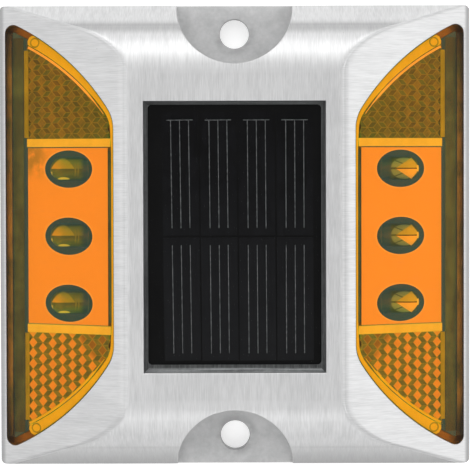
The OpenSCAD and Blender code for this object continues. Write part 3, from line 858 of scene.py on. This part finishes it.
def inward_across(path):
    """Unit vectors square to a path round the lens, on the side of the lens's middle."""
    inward = across(path)
    inward *= np.sign((inward * (np.array([38 * MM, 0]) - path)).sum(axis=1))[:, None]
    return inward


def flange_width(from_end):
    """Width of the flange at a distance along it from its nearer end."""
    share = np.clip(1 - from_end / FLANGE_REACH, 0, 1)
    return FLANGE_THIN + (FLANGE_WIDE - FLANGE_THIN) * share**FLANGE_TAPER


def lens_flange(side, name, material):
    """Flange round the back of the lens. It runs from one outer end along the large arc, up the straight
    inner edge and out along the other arc, thin at the inner edge and widening to its two rounded ends."""
    upper = half_lens(FLANGE_GAP)
    upper = upper[upper[:, 0] < FLANGE_END]
    lower = (upper * (1, -1))[::-1]
    path, far = resample(np.concatenate([upper, lower]), 260)
    from_end = np.minimum(far, far[-1] - far)
    width = flange_width(from_end)
    corner = 0.7 * MM
    rounding = corner * (1 - np.sqrt(1 - (1 - np.clip(from_end / corner, 0, 1)) ** 2))
    return strip(
        name,
        path + inward_across(path) * (width / 2)[:, None],
        width / 2 - np.minimum(rounding, 0.45 * width),
        SKIN + 0.12 * MM,
        SKIN + 1.3 * MM,
        0.12 * MM,
        side,
        material,
    )


def flange_bead(side, name, materials):
    """Fine raised bead along the inner side of each widening arm of the flange: the large arc moved inwards
    by the flange's width, from the arm's end to where the arm has become thin. materials are for the upper
    and the lower arm."""
    upper = half_lens(FLANGE_GAP)
    upper = upper[(upper[:, 0] < FLANGE_END) & (upper[:, 1] > BEAD_START_Y)]
    path, far = resample(upper, 90)
    kept = path[:, 0] < BEAD_END
    line = (path + inward_across(path) * (flange_width(far) + BEAD_OFFSET)[:, None])[kept]
    half_width = 0.26 * MM * np.clip((far[-1] - far[kept]) / (6 * MM), 0.3, 1)
    for (end, place), material in zip(ENDS, materials):
        strip(
            f"{name}_{place}",
            line * (1, end),
            half_width,
            SKIN + 0.03 * MM,
            SKIN + 0.5 * MM,
            0.1 * MM,
            side,
            material,
        )


def ejector_marks(side, name, material):
    """Round marks near the two outer ends of the flange: a low ring, a round section turned about an upright
    axis, flattened and laid on the slope."""
    ring_r = 0.92 * MM
    tube = 0.16 * MM
    turns, sections = 32, 10
    around = np.linspace(0, 2 * math.pi, turns, endpoint=False)[:, None]
    section = np.linspace(0, 2 * math.pi, sections, endpoint=False)[None, :]
    reach = ring_r + tube * np.cos(section)
    quads = ring_faces(turns + 1, sections, caps=False)
    count = turns * sections
    rings, faces = [], []
    for end, _ in ENDS:
        x = MARK_X + reach * np.cos(around)
        y = end * MARK_Y + reach * np.sin(around)
        z = face_height(x) - SKIN - 0.15 * MM + tube * np.sin(section) * 0.7
        start = len(rings) * count
        rings.append(np.stack([x * side, y + 0 * x, z], axis=-1).reshape(-1, 3))
        faces += [[start + i % count for i in quad] for quad in quads]
    return lens_piece(name, np.concatenate(rings), faces, material)


def prism_field(side, name, facets):
    """Corner prisms as tumbling blocks: on a lattice of columns that alternate by half a pitch, each cell is
    one upright diamond and two slanted parallelograms. The diamond's left and right corners lie below and
    above its tips, so that every three facets make a cube's corner. The field is mirrored to the other end.
    Points past its edge are moved onto it and facets that lose their area are dropped."""
    column_pitch = 2.17 * MM
    row_pitch = 2.25 * MM
    half_diamond = 0.9 * MM
    relief = 0.45 * MM
    depth = SKIN + 0.75 * MM
    first_column = PRISM_BOX[1].x - 1.6 * MM
    low_y = RIB_HIGH - 0.05 * MM
    column, row = np.meshgrid(np.arange(-1, 10), np.arange(-1, 12), indexing="ij")
    centre_x = first_column - column * column_pitch
    centre_y = low_y + (row + 0.5 * (column % 2)) * row_pitch
    tip = row_pitch / 2
    corners = {
        "tip": np.array([0, tip, 0]),
        "foot": np.array([0, -tip, 0]),
        "high": np.array([half_diamond, 0, relief]),
        "low": np.array([-half_diamond, 0, -relief]),
        "next_up": np.array([column_pitch, 0, 0]),
        "across_up": np.array([column_pitch - half_diamond, tip, -relief]),
        "across_down": np.array([column_pitch - half_diamond, -tip, -relief]),
    }
    shapes = [
        ("tip", "low", "foot", "high"),
        ("tip", "high", "next_up", "across_up"),
        ("foot", "across_down", "next_up", "high"),
    ]
    centres = np.stack([centre_x, centre_y, 0 * centre_x], axis=-1).reshape(-1, 1, 3)
    quads, kinds = [], []
    for kind, shape in enumerate(shapes):
        outline = np.stack([corners[key] for key in shape])
        quads.append(centres + outline[None])
        kinds.append(np.full(len(centres), kind))
    quads = np.concatenate(quads)
    kinds = np.concatenate(kinds)
    zones = np.repeat((0, 1), len(kinds))
    end = np.where(zones == 0, 1, -1)[:, None]
    quads = np.concatenate([quads * (1, end_sign, 1) for end_sign, _ in ENDS])
    kinds = np.concatenate([kinds, kinds])
    x = np.clip(quads[:, :, 0], PRISM_BOX[0].x + 0.05 * MM, PRISM_BOX[1].x - 0.45 * MM)
    arc_y = PRISM_ARC_Y + np.sqrt(PRISM_ARC**2 - (LENS_ARC_X - x) ** 2) - 0.1 * MM
    y = np.clip(quads[:, :, 1] * end, low_y + 0.05 * MM, arc_y) * end
    flat = np.stack([x, y], axis=-1)
    after = np.roll(flat, -1, axis=1)
    area = np.abs((flat[:, :, 0] * after[:, :, 1] - after[:, :, 0] * flat[:, :, 1]).sum(axis=1)) / 2
    kept = area > 0.05 * MM * MM
    flat, quads, kinds, zones = flat[kept], quads[kept], kinds[kept], zones[kept]
    height = face_height(flat[:, :, 0]) - depth + quads[:, :, 2]
    points = np.concatenate([flat, height[:, :, None]], axis=2)
    origin = quads[:, :1, :2]
    edge_a = quads[:, 1, :2] - quads[:, 0, :2]
    edge_b = quads[:, 3, :2] - quads[:, 0, :2]
    basis = np.linalg.inv(np.stack([edge_a, edge_b], axis=-1))
    grid = np.einsum("nij,nkj->nki", basis, flat - origin)
    keys = np.round(points.reshape(-1, 3) / (0.02 * MM)).astype(int)
    _, first, inverse = np.unique(keys, axis=0, return_index=True, return_inverse=True)
    shared = points.reshape(-1, 3)[first] * (side, 1, 1)
    faces = inverse.reshape(-1, 4)
    uv = np.clip(grid, 0, 1)
    clean, clean_kinds, clean_grid = [], [], []
    for face, kind, zone, corner_uv in zip(faces.tolist(), kinds, zones, uv):
        seen = [i for i in range(4) if face[i] != face[i - 1]]
        if len(seen) < 3 or len({face[i] for i in seen}) < len(seen):
            continue
        clean.append([face[i] for i in seen])
        clean_kinds.append(kind + 3 * zone)
        clean_grid.extend(corner_uv[i] for i in seen)
    made = piece(
        name,
        shared,
        clean,
        facets,
        [name],
        np.array(clean_kinds, dtype=np.int32),
        np.array(clean_grid),
        smooth=False,
    )
    face_up(made)
    block = made.modifiers.new("block", "SOLIDIFY")
    block.thickness = 0.6 * MM
    block.offset = -1
    return made


def face_up(made):
    """Turns the faces of an open relief so that they look up."""
    work = bmesh.new()
    work.from_mesh(made.data)
    turned = [face for face in work.faces if face.normal.z < 0]
    bmesh.ops.reverse_faces(work, faces=turned)
    work.to_mesh(made.data)
    work.free()


def lamp_bodies(side, name, material):
    """Round epoxy lamps: the profile of flange, barrel and dome turned about each lamp's axis, which leans
    up by the lamp's tilt."""
    barrel = 6.1 * MM
    flange_r = 2.9 * MM
    rim = 0.15 * MM
    dome = np.linspace(0, math.pi / 2 - 0.02, 20)
    flange_high = 1.0 * MM
    foot_reach = [flange_r - rim, flange_r, flange_r, flange_r - rim, LAMP_R + 0.02 * MM, LAMP_R]
    foot_rise = [0, rim, flange_high - rim, flange_high, flange_high, 1.1 * MM]
    reach = np.concatenate([foot_reach, LAMP_R * np.cos(dome)])
    rise = np.concatenate([foot_rise, barrel + LAMP_R * np.sin(dome)])
    around = np.linspace(0, 2 * math.pi, 48, endpoint=False)
    axial = rise[:, None] - barrel + 0 * around
    upright = -reach[:, None] * np.cos(around)
    level = reach[:, None] * np.sin(around)
    centre_x = LAMP_FRONT - LAMP_R
    centre_z = LAMP_BOX[0].z + flange_r * math.cos(LAMP_TILT) + barrel * math.sin(LAMP_TILT)
    x = centre_x + axial * math.cos(LAMP_TILT) - upright * math.sin(LAMP_TILT)
    z = centre_z + axial * math.sin(LAMP_TILT) + upright * math.cos(LAMP_TILT)
    points, faces = [], []
    for lamp in (-1, 0, 1):
        start = len(points) * x.size
        points.append(np.stack([x * side, level + lamp * LAMP_PITCH, z], axis=-1).reshape(-1, 3))
        faces += [[i + start for i in face] for face in ring_faces(len(reach), len(around))]
    return piece(name, np.concatenate(points), faces, [material], [name])


def straight(start, end, count=24):
    """Evenly spaced points on a line."""
    share = np.linspace(0, 1, count)[:, None]
    return np.array(start) * (1 - share) + np.array(end) * share


# ------------------------------------------------------------------- pieces

skin_amber = amber_skin()
flange_amber = amber_solid("amber_flange", (0.82, 0.84, 0.2), (0.94, 0.95, 0.3), (0.04, 0.24, 0.0))
# Painted highlight: the bead of the upper arm is brighter than that of the lower arm, which takes the
# flange's colour.
bead_amber = amber_solid("amber_bead", (0.92, 0.86, 0.9), (1.0, 0.95, 1.0), (0.2, 0.24, 0.2))
rib_amber = amber_solid("amber_rib", (0.88, 0.9, 0.8), (1.0, 1.0, 1.0), (0.06, 0.32, 0.1))
front_amber = amber_solid("amber_front", (0.10, 0.28, 0.6), (0.48, 0.66, 1.0), (0, 0, 0.08), True)
trough_amber = amber_solid("amber_trough", (0.01, 0.10, 0.3), (0.08, 0.32, 0.6), (0, 0.01, 0.12), True)
wall_amber = amber_solid("amber_wall", (0.28, 0.56, 0.2), (0.50, 0.84, 0.3))
# Painted reflection and shade: each facet's colour stands for the light it reflects. The upper (+Y) prisms
# are painted dim and the lower ones lit, with the lower diamonds brightest.
facet_finishes = [
    prism_facet("upper_diamond", (0.10, 0.26, 0.4), (0.27, 0.42, 0.4), (0.60, 0.9, 0.5)),
    prism_facet("upper_facet_a", (0.08, 0.27, 0.5), (0.15, 0.40, 0.6), (0.60, 0.9, 0.5)),
    prism_facet("upper_facet_b", (0.06, 0.19, 0.4), (0.19, 0.30, 0.4), (0.60, 0.9, 0.5)),
    prism_facet("lower_diamond", (0.90, 0.78, 0.8), (1.0, 0.92, 0.9), (0.8, 1.0, 0.8), True),
    prism_facet("lower_facet_a", (0.14, 0.40, 0.7), (0.27, 0.60, 0.8), (0.45, 0.8, 0.6)),
    prism_facet("lower_facet_b", (0.09, 0.31, 0.7), (0.17, 0.44, 0.8), (0.45, 0.8, 0.6)),
]
epoxy = {1: right_epoxy(), -1: left_epoxy()}
bar_finishes = {"front_wall": front_amber, "trough": trough_amber, "inner_step": trough_amber}

rib_middle = (RIB_LOW + RIB_HIGH) / 2
rib_half_width = (RIB_HIGH - RIB_LOW) / 2
rib_start = LENS_INNER + 0.75 * MM
rib_end = PLATE_BOX[1].x + 0.2 * MM

for side, word in SIDES:
    lens_skin(side, word + "_skin", skin_amber)
    lens_flange(side, word + "_flange", flange_amber)
    flange_bead(side, word + "_bead", (bead_amber, flange_amber))
    ejector_marks(side, word + "_ejector_marks", wall_amber)
    for end, place in ENDS:
        strip(
            f"{word}_{place}_rib",
            straight((rib_start, end * rib_middle), (rib_end, end * rib_middle)),
            rib_half_width,
            SKIN + 0.02 * MM,
            SKIN + 2.4 * MM,
            0.2 * MM,
            side,
            rib_amber,
        )
        wall_from = (PRISM_WALL_X, end * (RIB_HIGH + 0.2 * MM))
        wall_to = (PRISM_WALL_X, end * PRISM_WALL_END)
        strip(
            f"{word}_{place}_prism_wall",
            straight(wall_from, wall_to),
            0.5 * MM,
            SKIN + 0.4 * MM,
            SKIN + 1.6 * MM,
            0.15 * MM,
            side,
            wall_amber,
        )
    for bar, (x, reach, count, half_width, top, bottom) in BARS.items():
        path = straight((x, -reach), (x, reach), count)
        strip(f"{word}_{bar}", path, half_width, top, bottom, 0.1 * MM, side, bar_finishes[bar])
    prism_field(side, word + "_prisms", facet_finishes)
    lamp_bodies(side, word + "_lamps", epoxy[side])

FINISHES = {
    "housing": brushed_casting(),
    "potting": black_resin(),
    "panel_seal": grey_sealant(),
    "panel_board": panel_laminate(),
    "solar_cells": silicon(),
    "cell_fingers": printed_silver(),
    "panel_window": clear_window(),
    "right_lamp_plate": white_plate(),
    "right_leadframes": tinned("tinned_steel", (0.62, 0.62, 0.62), (0.9, 0.9, 0.88)),
    "lamp_dies": tinned("lamp_die", (0.8, 0.6, 0.1), (0.95, 0.85, 0.3), 0.0, 0.3),
    "right_lamp_board": circuit_board(),
    "controller": tinned("chip_black", (0.02, 0.02, 0.02), (0.05, 0.05, 0.052), 0.0, 0.5, 2500),
    "controller_legs": tinned("tinned_legs", (0.6, 0.6, 0.6), (0.85, 0.85, 0.84)),
    "coil_core": tinned("ferrite", (0.06, 0.06, 0.065), (0.12, 0.12, 0.125), 0.2, 0.5),
    "coil_winding": tinned("copper", (0.55, 0.22, 0.07), (0.85, 0.42, 0.16), 1.0, 0.3),
    "capacitor": tinned("can_sleeve", (0.02, 0.03, 0.08), (0.05, 0.06, 0.14), 0.0, 0.3),
    "resistors": tinned("resistor_body", (0.03, 0.03, 0.03), (0.07, 0.07, 0.07), 0.0, 0.4, 2500),
    "diode": tinned("diode_body", (0.02, 0.02, 0.02), (0.05, 0.05, 0.05), 0.0, 0.35),
    "battery": tinned("cell_wrap", (0.04, 0.12, 0.35), (0.08, 0.2, 0.5), 0.0, 0.3, 200),
    "battery_tabs": tinned("nickel", (0.6, 0.58, 0.54), (0.82, 0.8, 0.76)),
    "battery_wires": wire_sheath(),
}
SHARED = {
    "left_lamp_plate": "right_lamp_plate",
    "left_leadframes": "right_leadframes",
    "left_lamp_board": "right_lamp_board",
    "main_board": "right_lamp_board",
    "solar_wires": "battery_wires",
    "right_lamp_wires": "battery_wires",
    "left_lamp_wires": "battery_wires",
}
for node, finish in list(FINISHES.items()) + [(a, FINISHES[b]) for a, b in SHARED.items()]:
    nodes[node].data.materials.clear()
    nodes[node].data.materials.append(finish)


# -------------------------------------------------------------------- stage


def studio_floor():
    """Pale lit table."""
    f = Finish("studio_floor")
    tone = f.noise(4, 2.0)
    colour = f.blend(tone, (0.62, 0.62, 0.62), (0.65, 0.65, 0.65))
    return f.finish(Base_Color=colour, Roughness=0.8, Emission_Color=(1, 1, 1), Emission_Strength=0.55)


def stage_floor():
    """A wide square just under the stud."""
    mesh = bpy.data.meshes.new("floor")
    corners = ((-1, -1), (1, -1), (1, 1), (-1, 1))
    points = [(x * FLOOR_REACH, y * FLOOR_REACH, -FLOOR_DROP) for x, y in corners]
    mesh.from_pydata(points, [], [(0, 1, 2, 3)])
    mesh.materials.append(studio_floor())
    floor = bpy.data.objects.new("floor", mesh)
    bpy.context.scene.collection.objects.link(floor)


def soft_box(name, place, size, radiance):
    """A soft light that looks at the stud, as bright as radiance at its face."""
    light = bpy.data.lights.new(name, "AREA")
    light.shape = "RECTANGLE"
    light.size, light.size_y = size
    light.energy = radiance * math.pi * size[0] * size[1]
    lamp = bpy.data.objects.new(name, light)
    lamp.location = place
    direction = -lamp.location
    lamp.rotation_euler = direction.to_track_quat("-Z", "Y").to_euler()
    bpy.context.scene.collection.objects.link(lamp)


def studio():
    """Even light from all round and soft boxes above and beside the stud."""
    world = bpy.data.worlds.new("studio")
    world.use_nodes = True
    background = world.node_tree.nodes["Background"]
    background.inputs["Color"].default_value = (1, 1, 1, 1)
    background.inputs["Strength"].default_value = EVEN_LIGHT
    scene = bpy.context.scene
    scene.world = world
    scene.view_settings.view_transform = "Standard"
    for name, place, size, radiance in SOFT_BOXES:
        soft_box(name, place, size, radiance)


def studio_camera():
    """Looks almost straight down, from a little towards +Y."""
    data = bpy.data.cameras.new("camera")
    data.sensor_width = 36.0
    data.lens = FOCAL_LENGTH
    data.clip_start = 0.01
    camera = bpy.data.objects.new("camera", data)
    camera.location = CAMERA_PLACE
    camera.rotation_euler = CAMERA_TURN
    bpy.context.scene.collection.objects.link(camera)
    bpy.context.scene.camera = camera


stage_floor()
studio()
studio_camera()
